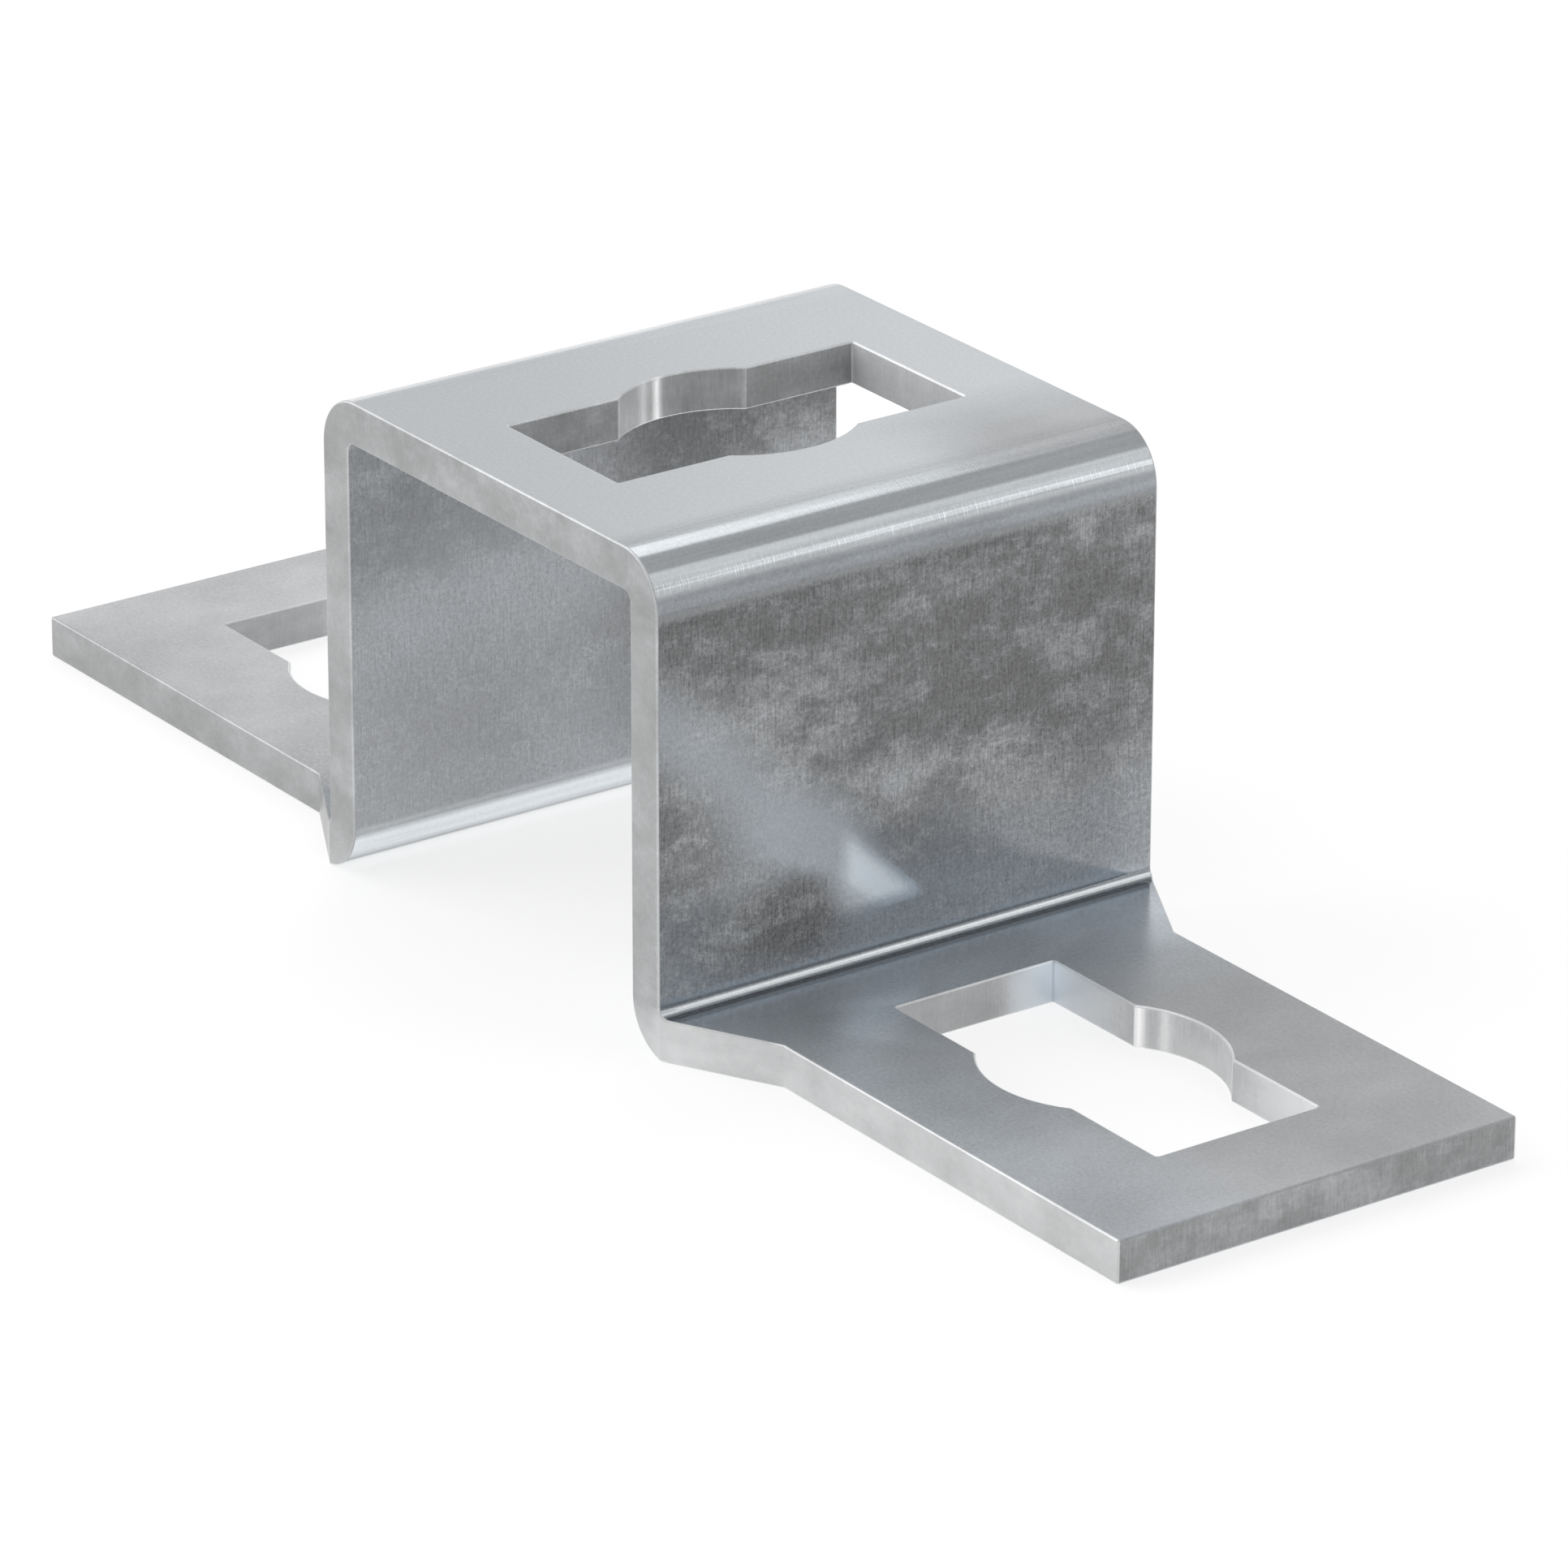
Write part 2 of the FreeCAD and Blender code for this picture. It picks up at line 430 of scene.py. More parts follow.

# %% [markdown]
# ## The outer side
#
# The folds were burnished by the brake, and thin bands of painted highlight and painted shade run along
# them, with painted shade lines along the crease. The left flange carries a thick bloom that is painted
# lighter, and the right one a thinner one with a painted cool reflection by the crease and at its front.
# All of this runs along the folds, so it is written as values at distances along the unfolded strip, which
# read like marks on a tape that is laid over the sheet.

# %% Wear the outer side
def outer_finish(points, distance):
    """The broad side that faces up and outward: coated legs, their coat partly painted shade, with a
    painted reflection spot, between burnished folds with bands of painted highlight and shade, a thick
    bloom painted lighter on the left flange and a thinner one on the right flange, and smooth, cool zinc
    round the crease, its cool tint a painted reflection, with a painted shade line on each side of it."""
    across, right = points[..., 1], points[..., 0] > 0
    height = bend_z - (np.abs(distance) - fold_end) + 0 * across
    bare_zinc_and_reflection_spot, haze, coat_and_painted_shade, worn, lit = leg_wear(across, height)
    on_leg = over(distance, {
        fold_end - 0.5: 0, fold_end + 1.2: 1, foot_start - 0.3: 1, foot_start + 0.1: 0})
    # The cool tint is a painted reflection of the dark leg and flange: on the leg, round the crease, on
    # the front of the right flange, and on the leg's haze and reflection spot.
    cool = over(distance, {
        fold_end - 1.2: 0, fold_end - 0.7: 0.5, fold_end: 0.5, fold_end + 0.1: 0,
        foot_start - 26: 0, foot_start - 12: 0.8, foot_start: 1, foot_at(15): 0.7, foot_at(24): 0,
        foot_at(44): 0, foot_at(58): 1, foot_end + 8: 0.9, foot_end + 22: 0})
    cool_front = right * eased(-across, 2, 14) * over(distance, {
        foot_end + 6: 0, foot_end + 20: 0.6, foot_end + 54: 0.35})
    thin_bloom = over(distance, {
        foot_end: 0, foot_end + 2: 0.25, foot_end + 14: 0.6, foot_end + 25: 0.86, foot_end + 38: 0.9})
    # The left flange's thick bloom is painted lighter.
    thick_bloom_painted_lighter = over(distance, {foot_end + 1: 0, foot_end + 6: 1})
    under_fold = over(distance, {
        fold_end - 1.3: 0, fold_end - 0.8: 0.65, fold_end + 0.3: 0.7, fold_end + 1.5: 0})
    # A duller patch on the top behind the right fold, also painted in shade.
    dull_and_shaded_behind_fold = eased(across, 4, 17) * over(distance, {
        fold_start - 14: 0, fold_start - 4: 0.6, fold_start + 1: 0.6, fold_start + 1.7: 0})
    # A painted highlight along the far edge of the left fold.
    left_fold_highlight = np.where(right, 0, over(distance, {
        fold_start: 0, fold_at(6): 0.9, fold_at(22): 0.9, fold_at(34): 0}))
    # Painted shade lines at the start and the end of the foot's bend, on both sides of the crease.
    crease_shade_lines = over(distance, {
        foot_start - 0.15: 0, foot_start: 0.3, foot_at(10): 0.45, foot_at(20): 0,
        foot_at(50): 0, foot_at(66): 0.45, foot_end: 0.5, foot_end + 0.15: 0})
    # Bands of painted highlight and painted shade along the right fold.
    fold_highlights_and_shade = over(distance, {
        fold_start - 0.6: 0, fold_start: 0.2, fold_at(10): 0, fold_at(48): 0, fold_at(54): 0.1,
        fold_at(61): 0.15, fold_at(67): 0, fold_at(72): -0.2, fold_at(77): 0, fold_at(84): 0,
        fold_end: 0.18, fold_end + 1: 0})
    # Painted light on the right flange past the foot, away from its middle.
    foot_painted_light = over(distance, {
        foot_end: 0, foot_end + 1: 0.15, foot_end + 5: 0.3, foot_end + 9: 0.2, foot_end + 13: 0})
    # Painted light and shade on the right half: the fold's bands, painted shade behind the fold, the
    # painted light past the foot, and a painted darker spot on the flange beside the foot.
    right_shade = fold_highlights_and_shade + 0.2 * dull_and_shaded_behind_fold - foot_painted_light * eased(np.abs(across), 8, 14)
    right_shade += 0.28 * spot(across, np.abs(distance), (-12, foot_end + 11), (5, 4))
    # Painted shade over the left flange, and painted light on its fold's highlight.
    left_shade = over(distance, {
        foot_end: 0, foot_end + 1: 0.1, foot_end + 36: 0.1, foot_end + 52: 0.02}) - 0.3 * left_fold_highlight
    bloom = np.where(right, thin_bloom + dull_and_shaded_behind_fold, thick_bloom_painted_lighter + left_fold_highlight) + under_fold
    return {
        "dark": on_leg * coat_and_painted_shade,
        "worn": on_leg * worn,
        "shade": crease_shade_lines - on_leg * lit + np.where(right, right_shade, left_shade),
        "bloom": bloom + on_leg * np.maximum(0.7 * haze, 0.9 * bare_zinc_and_reflection_spot),
        "rim": left_fold_highlight,
        "cool": np.maximum(np.maximum(cool, cool_front), on_leg * np.maximum(0.7 * haze, bare_zinc_and_reflection_spot)),
        "polish": over(distance, {
            foot_start - 22: 0, foot_start - 6: 0.7, foot_end: 0.7, foot_end + 12: 0.2,
            foot_end + 20: 0}),
        # burnish reaches 2 where the fold's painted glint ticks lie.
        "burnish": over(distance, {
            fold_start - 1: 0, fold_start: 1, fold_at(52): 1, fold_at(57): 2, fold_at(67): 2,
            fold_at(72): 1, fold_end - 0.7: 1, fold_end: 0,
            foot_start: 0, foot_at(20): 1, foot_at(55): 1, foot_end: 0}),
    }


print("the outer side sets", list(outer_finish(np.zeros((1, 3)), fold_start)))

# %% [markdown]
# ## The inner side and the cut walls
#
# Inside the hat the coat is pale and thin, and it is painted darker away from the open front, as shade.
# The outer bends at the feet stick out below and carry no coat, but bands of painted highlight and painted
# shade. The cut walls carry an even, rougher bloom, and a painted highlight along their dulled edges.

# %% Wear the inner side and the cut walls
def inner_finish(points, distance):
    """The broad side that faces down and inward: a pale coat over an even bloom, hazier halfway up and by
    the foot, painted darker away from the hat's open front as shade, and no coat on the outer bends, which
    carry bands of painted highlight and shade."""
    shade_away_from_front = eased(points[..., 1], -4, 10)
    height = bend_z - (np.abs(distance) - fold_end) + 0 * points[..., 1]
    haze = fading(height - 25 - 0.12 * points[..., 1], 5) + 0.6 * eased(height, 12, 4)
    lighter_low_front = eased(points[..., 1], -14, -4) * eased(height, 18, 14)
    # How much lighter the coat inside is painted: more in the haze and low at the front, less away from
    # the open front, lighter in one spot and darker in another.
    lit = 0.42 + 0.16 * haze + 0.17 * lighter_low_front + 0.08 * eased(height, 28, 33) - 0.1 * shade_away_from_front
    lit += 0.12 * spot(points[..., 1], height, (-14, 27), (8, 3))
    lit -= 0.14 * spot(points[..., 1], height, (-22, 19), (8, 3))
    turned = {degrees: foot_at(degrees, foot_under) for degrees in range(0, 91, 3)}
    in_hat = over(distance, {
        fold_end: 1, foot_start: 0.85, foot_start + 0.15: 0, foot_end: 0, foot_end + 4: 0.6})
    return {
        # The coat is painted darker away from the open front, as shade.
        "dark": in_hat * (0.62 + 0.16 * shade_away_from_front * over(distance, {fold_end + 6: 1, fold_end + 24: 0.2})),
        "worn": 0.5 - shade_away_from_front + haze,
        # Bands of painted highlight and painted shade across the outer bend of the foot, and the painted
        # light of the coat inside.
        "shade": over(distance, {
            turned[9]: 0, turned[12]: -0.5, turned[15]: -0.4, turned[36]: -0.35, turned[42]: 0.06,
            turned[48]: 0.55, turned[54]: -0.12, turned[60]: -0.5, turned[66]: -0.4,
            turned[72]: -0.05, turned[78]: 0.38, turned[84]: 0.1, foot_end: 0}) - in_hat * lit,
        "cool": in_hat * np.minimum(0.4 * haze + 0.4 * lighter_low_front, 0.5),
        "bloom": over(distance, {
            fold_end: 0.5, foot_start: 0.6, turned[6]: 0.5, turned[12]: 0,
            foot_end: 0, foot_end + 2: 0.6}),
        "burnish": over(distance, {foot_start: 0, turned[9]: 1, foot_end: 1, foot_end + 0.5: 0}),
    }


def cut_finish(rim, **others):
    """A wall that was cut, with a painted highlight along its dulled rim."""
    return {"cut": 1, "bloom": 0.45, "rim": rim} | others


finish_names = ("cut", "bloom", "dark", "worn", "shade", "burnish", "cool", "polish", "rim")
print("the finish is carried by", len(finish_names), "values at each corner")

# %% [markdown]
# ## Patches
#
# Each part of the skin is a patch: a grid of points with its UV map, its finish values, and a mark
# for the cells that are left out. A Boolean modifier could cut the slots, but it leaves long
# thin faces that shade badly. So the broad sides leave out a window round each slot, to be filled
# later. Patches that touch share the places of their edge points, and are welded at the end.

# %% Cut the strip's skin into patches
patches = []


def add_patch(points, uv, finish, left_out=None):
    """Keeps a grid of points with its UV pairs and its finish values, absent ones as zero."""
    cells = np.ones((points.shape[0] - 1, points.shape[1] - 1), dtype=bool)
    if left_out is not None:
        cells &= ~left_out
    values = [np.broadcast_to(finish.get(name, 0), points.shape[:2]) for name in finish_names]
    patches.append((points, uv, np.stack(values, axis=-1), cells))


def lines_between(start_x, end_x):
    """The cross lines from one x to another on a flat run, by their places on the upper side."""
    first = int(np.argmin(np.abs(upper[:, 0] - start_x)))
    last = int(np.argmin(np.abs(upper[:, 0] - end_x)))
    return first, last


slots = [
    ("hat slot", 0.0, True, lines_between(-hat_window_half_x, hat_window_half_x)),
    ("right slot", flange_slot_x, False, lines_between(window_start_x, window_end_x)),
    ("left slot", -flange_slot_x, False, lines_between(-window_end_x, -window_start_x)),
]
row_count = len(rows)
window_rows = slice(border_steps, border_steps + row_steps)
windows = np.zeros((len(upper) - 1, row_count - 1), dtype=bool)
for name, centre_x, along_channel, (first, last) in slots:
    windows[first:last, window_rows] = True
    print(name, "window has", last - first, "by", row_steps, "cells")

closing_skin = np.concatenate([skin, skin[:, :1]], axis=1)
under_start = row_count + 2 * round_steps
upper_side = closing_skin[:, :row_count]
right_wall = closing_skin[:, row_count - 1:under_start + 1]
under_side = closing_skin[:, under_start:under_start + row_count][:, ::-1]
left_wall = closing_skin[:, under_start + row_count - 1:]

# %% [markdown]
# ## Covering the strip
#
# The broad sides take the finishes worked out above. The long cut walls carry a painted highlight halfway
# round their dulled corners, fainter on the flanges. Their stain is strongest on the legs, and each
# flange's walls are painted a little lighter or darker, as light and shade. An offset in the grain map
# gives each side and each wall a stretch of the patterns of its own, so that no two of them look alike.

# %% Add the strip's own patches
# A painted highlight halfway round each rounded edge of a cut wall.
corner_shine = np.sin(2 * turn)
wall_rim = np.concatenate([corner_shine, corner_shine[::-1]])
upper_grain, under_grain, right_grain, left_grain, end_grain = 0, 300, 600, 900, 1200
line = developed[:, None]
for side, grain, finish in (
        (upper_side, upper_grain, outer_finish), (under_side, under_grain, inner_finish)):
    add_patch(side, grain_on_sheet(side, line, grain), finish(side, line), windows)

stain = over(line, {fold_start: 0.46, fold_end: 0.42, foot_start: 0.42, foot_end: 0.16})
stain += 0.22 * (line < -foot_end)
# Painted light and shade on the long walls: darker on the left flange, lighter by the right foot and
# flange.
wall_painted_light_and_shade = np.interp(
    line, [-foot_end - 1, -foot_end, foot_start, foot_end, foot_end + 12], [0.14, 0, 0, -0.27, -0.18])
# The painted highlight along the walls' edges is fainter on the flanges.
strip_rim = wall_rim * over(line, {foot_start: 1, foot_end: 0.6})
for wall, grain in ((right_wall, right_grain), (left_wall, left_grain)):
    add_patch(wall, grain_on_cut(wall, developed, grain),
              cut_finish(strip_rim, dark=stain, shade=wall_painted_light_and_shade))
for end in (0, -1):
    cap = np.stack([upper_side[end], under_side[end]], axis=1)
    add_patch(cap, grain_on_cut(cap, cap[:, 0, 1], end_grain), cut_finish(0, dark=0.55, burnish=0.6))
print("patches so far:", len(patches))

# %% [markdown]
# ## The keyed slots
#
# A punch goes through the sheet in one stroke, and leaves straight walls with a dulled rim. The
# punch's shape is a rectangle with a circle over its middle. One quarter of it is worked out
# and mirrored, because the others are the same, and it can be grown by any amount, which the
# rounding of the rim will need.

# %% Work out a slot's outline
slot_corner = 0.15
corner_steps = 4
side_steps = 4
side_end = 0.15


def keyed_outline(grow):
    """A slot's closed outline in (along, across), grown into the sheet by grow.

    A quarter goes up half the short end, round the small corner, along the long side to where
    the round opening meets it, then round the opening to its top. It is mirrored, and the half
    turned by 180 degrees."""
    length, width, radius = slot_half_length + grow, slot_half_width + grow, slot_round_radius + grow
    corner = slot_corner + grow
    meet = math.sqrt(radius**2 - width**2)
    end = along(length, spread(0, width - corner, quarter_steps - corner_steps))
    bend = around(length - corner, width - corner, corner, spread(0, 90, corner_steps))
    start = length - corner
    side = along(np.array([start, start - side_end, (start + meet) / 2, meet + side_end, meet]), width)
    opening_start = math.degrees(math.asin(width / radius))
    opening = around(0, 0, radius, spread(opening_start, 90, quarter_steps - side_steps))
    quarter = joined(end, bend, side, opening)
    half = joined(quarter, quarter[::-1] * np.array([-1, 1]))
    return joined(half, -half)


print("a slot's outline has", len(keyed_outline(0.0)), "points")

# %% [markdown]
# ## From the outline to the walls
#
# The rim's rounding is a family of outlines that go down a quarter circle, each grown a little
# less than the last. A flat ring joins the widest of them to the window in the strip's skin, so
# the window's edge is walked in the same order as the outline, and with as many points.

# %% Stack the outlines through the sheet
def window_outline(grid):
    """The edge of a square grid of points, from the middle of its last line and round."""
    middle = quarter_steps
    half = joined(grid[-1, middle:], grid[::-1, -1], grid[0, :middle - 1:-1])
    other = joined(grid[0, middle::-1], grid[:, 0], grid[-1, :middle + 1])
    return joined(half, other)


def slot_points(centre_x, along_channel, top_z, grow, depth):
    """Outlines stacked through the sheet: one for each growth and each depth under top_z."""
    local = np.stack([keyed_outline(g) for g in grow])
    if along_channel:
        local = local[..., ::-1]
    heights = np.broadcast_to((top_z - depth)[:, None], local.shape[:2])
    return np.dstack([local[..., 0] + centre_x, local[..., 1], heights])


rim_grow = edge_round * (1 - np.sin(turn))
rim_depth = edge_round * (1 - np.cos(turn))
wall_grow = np.concatenate([rim_grow, rim_grow[::-1]])
wall_depth = np.concatenate([rim_depth, sheet_thickness - rim_depth[::-1]])
print("a slot is cut at", len(wall_depth), "depths")

# %% [markdown]
# ## What shows in a slot
#
# Light and shade are painted on the walls of a slot. One flank of the round opening has a painted glint,
# and the lower rim a painted highlight. Thin painted highlight lines stand where the opening meets the
# long sides, and at the corners of the hat's slot, whose end walls are painted lighter. In the flanges'
# slots the far corners carry a painted reflection, the left one with a cool tint, a thin painted shade
# line runs down each corner, and the walls are painted lighter, the one at the left least, as painted
# shade. The angle round the opening and the distances to a corner and to such a meeting are enough to
# place all of these.

# %% Finish the wall of a slot
meeting_x = math.sqrt(slot_round_radius**2 - slot_half_width**2)
# The lower rim of a slot's wall gets a painted highlight.
lower_rim = np.concatenate([np.zeros_like(corner_shine), corner_shine[::-1]])
touching = 0.01
corner_line = 0.12
meeting_line = 0.05


def slot_finish(outline, centre_x, along_channel):
    """The finish round a slot's wall, from its outline at half depth, with its painted light and shade.
    shine and second are the angles, in degrees round the opening, at which its two painted glints lie."""
    x, y = outline[:, :1] - centre_x, outline[:, 1:2]
    half_x, half_y = slot_half_length, slot_half_width
    meet_x, meet_y = meeting_x, half_y
    shine, second = 127, 114
    if along_channel:
        half_x, half_y = half_y, half_x
        meet_x, meet_y = meet_y, meet_x
        shine, second = 6, 15
    on_opening = np.abs(np.hypot(x, y) - slot_round_radius) < touching
    turned = np.degrees(np.arctan2(y, x)) % 180
    # Painted glints on the round opening.
    glint = on_opening * (fading(turned - shine, 2.5) + 0.4 * fading(turned - second, 3))
    to_corner = np.hypot(np.abs(x) - half_x, np.abs(y) - half_y)
    to_meeting = np.hypot(np.abs(x) - meet_x, np.abs(y) - meet_y)
    at_left = (x < touching - half_x) & ~on_opening
    at_side = (np.abs(y) > half_y - touching) & ~on_opening
    at_corner, at_meeting = to_corner < corner_line, to_meeting < meeting_line
    # Painted light and shade: highlight lines at the meetings, and in the hat's slot at the corners, with
    # its end walls painted lighter; in the flanges' slots a painted reflection by the far corners, cool at
    # the left, painted shade on the left wall, a painted shade line down each corner, and lighter walls.
    if along_channel:
        stain, sheen, cool = 0.5 * at_left, 0, 0
        lines = 0.7 * at_corner + 0.8 * at_meeting
        shade = 0.04 * on_opening - 0.45 * at_side
    else:
        reach = np.where(at_left, 7, 12)
        sheen = (1 - eased(to_corner, 2, reach)) * np.where(x > 0, 0.8, eased(y, 0, 4))
        stain, cool = 0, 0.7 * sheen * (x < 0)
        lines = 0.8 * at_meeting
        shade = 0.3 * at_left * (1 - sheen) - 0.38 - 0.15 * on_opening - 0.1 * cool + 0.5 * at_corner
    # The glints and the lower rim are painted lighter.
    rim = np.maximum(wall_rim * (1 - 0.7 * lower_rim), np.maximum(sheen, lines))
    return cut_finish(rim, bloom=0.85 * (1 - glint) * (1 - lower_rim), dark=stain, worn=-0.2, cool=cool,
                      shade=shade - 0.5 * glint - 0.4 * lower_rim, burnish=0.3 + 0.3 * on_opening)


print("the opening meets the long sides", round(meeting_x, 2), "mm from the slot's middle")

# %% [markdown]
# ## The slots in their places
#
# Each slot gets its wall and two flat rings, one in each side of the sheet. A ring takes the
# finish of the side that it lies in, so that the window closes without a trace.

# %% Add the walls of the slots and the rings round them
first_slot_grain, next_slot_grain = 1500, 200
for number, (name, centre_x, along_channel, (first, last)) in enumerate(slots):
    top_z = hat_top_z if along_channel else sheet_thickness
    walls = slot_points(centre_x, along_channel, top_z, wall_grow, wall_depth)
    outline = walls[round_steps]
    around_slot = np.cumsum(np.linalg.norm(np.diff(outline, axis=0, prepend=outline[:1]), axis=1))
    wall_grid = walls.transpose(1, 0, 2)
    add_patch(wall_grid, grain_on_cut(wall_grid, around_slot, first_slot_grain + number * next_slot_grain),
              slot_finish(outline, centre_x, along_channel))
    for side, edge, grain, finish in (
            (upper_side, walls[0], upper_grain, outer_finish),
            (under_side, walls[-1], under_grain, inner_finish)):
        grid = side[first:last + 1, border_steps:border_steps + row_steps + 1]
        window = window_outline(grid.transpose(1, 0, 2) if along_channel else grid)
        ring = np.stack([window, edge])
        distance = unfolded(ring[..., 0])
        add_patch(ring, grain_on_sheet(ring, distance, grain), finish(ring, distance))
    print(name, "wall is", round(around_slot[-1], 1), "mm round")

# %% [markdown]
# ## One welded skin
#
# All patches go into one mesh, because separate objects would show a seam wherever two of them
# meet. Each patch numbers its points from where the last one ended, and gives its UV pairs and
# its finish values once for every corner of every face, so that they may jump from one patch to
# the next.

# %% Gather the patches into one mesh
def grid_corners(lines, columns, cells):
    """Corner numbers of a grid's cells, four to a row, for the cells that are kept."""
    number = np.arange(lines * columns).reshape(lines, columns)
    corners = np.stack([number[:-1, :-1], number[1:, :-1], number[1:, 1:], number[:-1, 1:]], axis=-1)
    return corners[cells]


value_count = len(finish_names)
vertices, faces, corner_uv, corner_finish = [], [], [], []
points_before = 0
for points, uv, finish, cells in patches:
    corners = grid_corners(points.shape[0], points.shape[1], cells)
    vertices.append(points.reshape(-1, 3))
    faces.append(corners + points_before)
    corner_uv.append(uv.reshape(-1, 2)[corners].reshape(-1, 2))
    corner_finish.append(finish.reshape(-1, value_count)[corners].reshape(-1, value_count))
    points_before += points.shape[0] * points.shape[1]
vertices, faces = np.concatenate(vertices) * mm, np.concatenate(faces)
corner_uv, corner_finish = np.concatenate(corner_uv) * mm, np.concatenate(corner_finish)

mesh = bpy.data.meshes.new("channel_connector_skin")
mesh.from_pydata(vertices.tolist(), [], faces.tolist())
mesh.uv_layers.new(name="grain").data.foreach_set("uv", corner_uv.ravel())
for name, values in zip(finish_names, corner_finish.T):
    mesh.attributes.new(name, "FLOAT", "CORNER").data.foreach_set("value", values)
print("gathered", len(vertices), "points and", len(faces), "faces")

# %% [markdown]
# ## Welding
#
# The welding joins the points that patches share, and a normals pass turns every face outward.
# No edge may stay open, because the sheet is solid. The smooth shading stops at corners sharper
# than the steps of the rounding.

# %% Weld the mesh and mark its sharp edges
welding_distance = 2e-6
shortest_edge = 1e-7
sharp_turn = 25

welding = bmesh.new()
welding.from_mesh(mesh)
bmesh.ops.remove_doubles(welding, verts=welding.verts, dist=welding_distance)
bmesh.ops.dissolve_degenerate(welding, edges=welding.edges, dist=shortest_edge)
bmesh.ops.recalc_face_normals(welding, faces=welding.faces)
open_edges = sum(not edge.is_manifold for edge in welding.edges)
print("skin:", len(welding.faces), "faces,", open_edges, "open edges,",
      round(welding.calc_volume() / mm**3), "cubic mm")
welding.to_mesh(mesh)
welding.free()
mesh.shade_smooth()
mesh.set_sharp_from_angle(angle=math.radians(sharp_turn))

# %% [markdown]
# ## The connector in its frame
#
# The finished mesh becomes an object that rides on the solid's only body and takes its place in
# the picture. A Weighted Normal modifier keeps the broad faces flat right up to their dulled
# edges, so that they mirror the studio without ripples.

# %% Hand the connector to the frame
connector = bpy.data.objects.new("channel_connector_skin", mesh)
bpy.context.scene.collection.objects.link(connector)
weighting = connector.modifiers.new("Weighted Normal", "WEIGHTED_NORMAL")
weighting.keep_sharp = True
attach(connector, "root")
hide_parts("channel_connector")
print(connector.name, "stands for the solid with", len(mesh.polygons), "faces")

# %% [markdown]
# ## Writing a finish as sums
#
# The finish could be wired by hand in the shader editor, but it is easier to read as arithmetic
# than as a web of nodes. So one small class wraps a socket, and sums on it add Math nodes.

# %% Wrap a socket so that it can be added and multiplied
class Signal:
    """A number or colour that varies over the surface. Arithmetic on numbers adds Math nodes."""

    def __init__(self, finish, socket):
        self.finish, self.socket = finish, socket

    def math(self, operation, first, second):
        """Adds a Math node that works on two values."""
        return self.finish.node("ShaderNodeMath", {"operation": operation}, {0: first, 1: second})

    def __add__(self, other):
        return self.math("ADD", self, other)

    def __sub__(self, other):
        return self.math("SUBTRACT", self, other)

    def __rsub__(self, other):
        return self.math("SUBTRACT", other, self)

    def __abs__(self):
        return self.math("ABSOLUTE", self, 0.0)

    def __mul__(self, other):
        return self.math("MULTIPLY", self, other)

    __radd__ = __add__
    __rmul__ = __mul__


print(Signal.__doc__)

# %% [markdown]
# ## One method for every other node
#
# Any other node comes from one method, which takes the node's type, its settings and what goes
# into its sockets. The settings are made first, because some of them change which sockets there
# are. The nodes that come up again and again have short names of their own.

# %% Build a finish node by node
class Finish:
    """A material that is built node by node."""

    def __init__(self, name):
        self.material = bpy.data.materials.new(name)
        self.material.use_nodes = True
        self.tree = self.material.node_tree
        self.tree.nodes.clear()

    def node(self, kind, settings=None, values=None, output=0):
        """Adds a node, sets its settings, then fills its sockets with values or links. output
        is the name or the number of the socket that is handed on."""
        node = self.tree.nodes.new(kind)
        for name, value in (settings or {}).items():
            setattr(node, name, value)
        for name, value in (values or {}).items():
            if isinstance(value, Signal):
                self.tree.links.new(value.socket, node.inputs[name])
            else:
                node.inputs[name].default_value = value
        if node.outputs:
            return Signal(self, node.outputs[output])

    def noise(self, place, size, detail=2, roughness=0.5):
        """Cloudy noise from 0 to 1. size is the spacing of its clouds along x, y and z, in mm."""
        scaled = self.node("ShaderNodeVectorMath", {"operation": "DIVIDE"},
                           {0: place, 1: tuple(s * mm for s in size)})
        return self.node("ShaderNodeTexNoise", {},
                         {"Vector": scaled, "Scale": 1, "Detail": detail, "Roughness": roughness})

    def between(self, value, low, high):
        """0 below low, 1 above high, and a smooth step between them."""
        return self.node("ShaderNodeMapRange", {"interpolation_type": "SMOOTHSTEP"},
                         {"Value": value, "From Min": low, "From Max": high})

    def blend(self, share, first, second):
        """A mix of two colours: the first where share is 0, the second where it is 1."""
        return self.node("ShaderNodeMix", {"data_type": "RGBA"}, {0: share, 6: first, 7: second}, output=2)

    def attribute(self, name):
        """A value that the mesh carries at its corners."""
        return self.node("ShaderNodeAttribute", {"attribute_name": name}, output="Fac")


print("materials so far:", len(bpy.data.materials))

# %% [markdown]
# ## The patterns in the zinc
#
# Old zinc is cloudy, flecked and faintly streaked. A picture of such a sheet could be wrapped
# round the connector, but it would repeat, and blur from close by. Noise does neither. Every
# pattern here is a noise whose spacing is given in millimetres along each direction. The clouds
# and the flecks lie in the object's own space, so they run on round its corners. The streaks, the
# bands and the rubbing follow the grain map, so they turn with the sheet. A few thin scratches
# are the contour lines of one more noise.

# %% Lay out the patterns
zinc = Finish("zinc_coated_steel")
place = zinc.node("ShaderNodeTexCoord", output="Object")
grain_map = zinc.node("ShaderNodeUVMap", {"uv_map": "grain"})
cut, bloom, dark, worn, shade, burnished, cool, polish, rim = (zinc.attribute(n) for n in finish_names)

